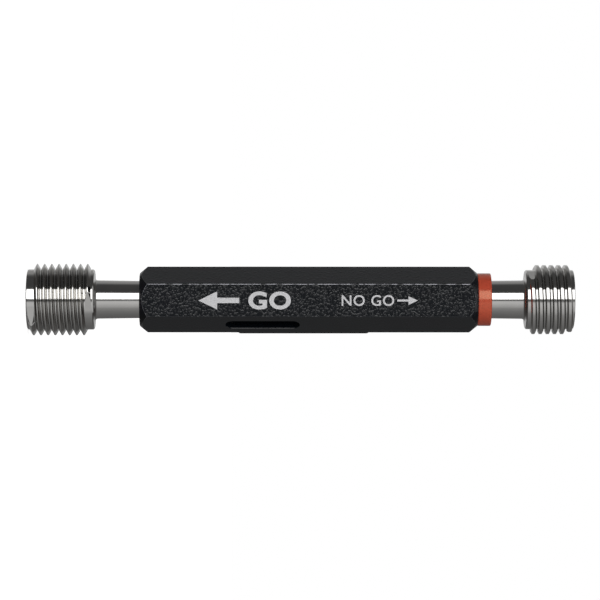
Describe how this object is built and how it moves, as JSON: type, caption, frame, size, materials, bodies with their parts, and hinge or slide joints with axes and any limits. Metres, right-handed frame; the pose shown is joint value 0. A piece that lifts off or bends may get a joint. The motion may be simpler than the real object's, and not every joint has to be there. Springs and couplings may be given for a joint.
{
  "type": "thread plug gauge",
  "caption": "Double-ended thread plug gauge: GO and NO-GO screw plugs on taper shanks in a black hexagonal handle, with a red ring at the NO-GO end.",
  "frame": {"origin": "centre of the GO member's end face, which the gauge stands on", "axes": "+Z along the gauge's axis from the GO end to the NO-GO end; -Y square to the handle's flat that the drift slot opens in"},
  "size_m": [0.02, 0.02, 0.152],
  "materials": {
    "handle_black": "black anodised over a blasted surface, satin",
    "gauge_steel": "hardened gauge steel, fine ground",
    "ring_red": "red plastic, semi-gloss",
    "plate_black": "black anodised plate, satin"
  },
  "bodies": {
    "root": {"handle": "handle_black", "go_member": "gauge_steel", "no_go_member": "gauge_steel", "no_go_ring": "ring_red", "marking_plate": "plate_black"}
  },
  "joints": []
}
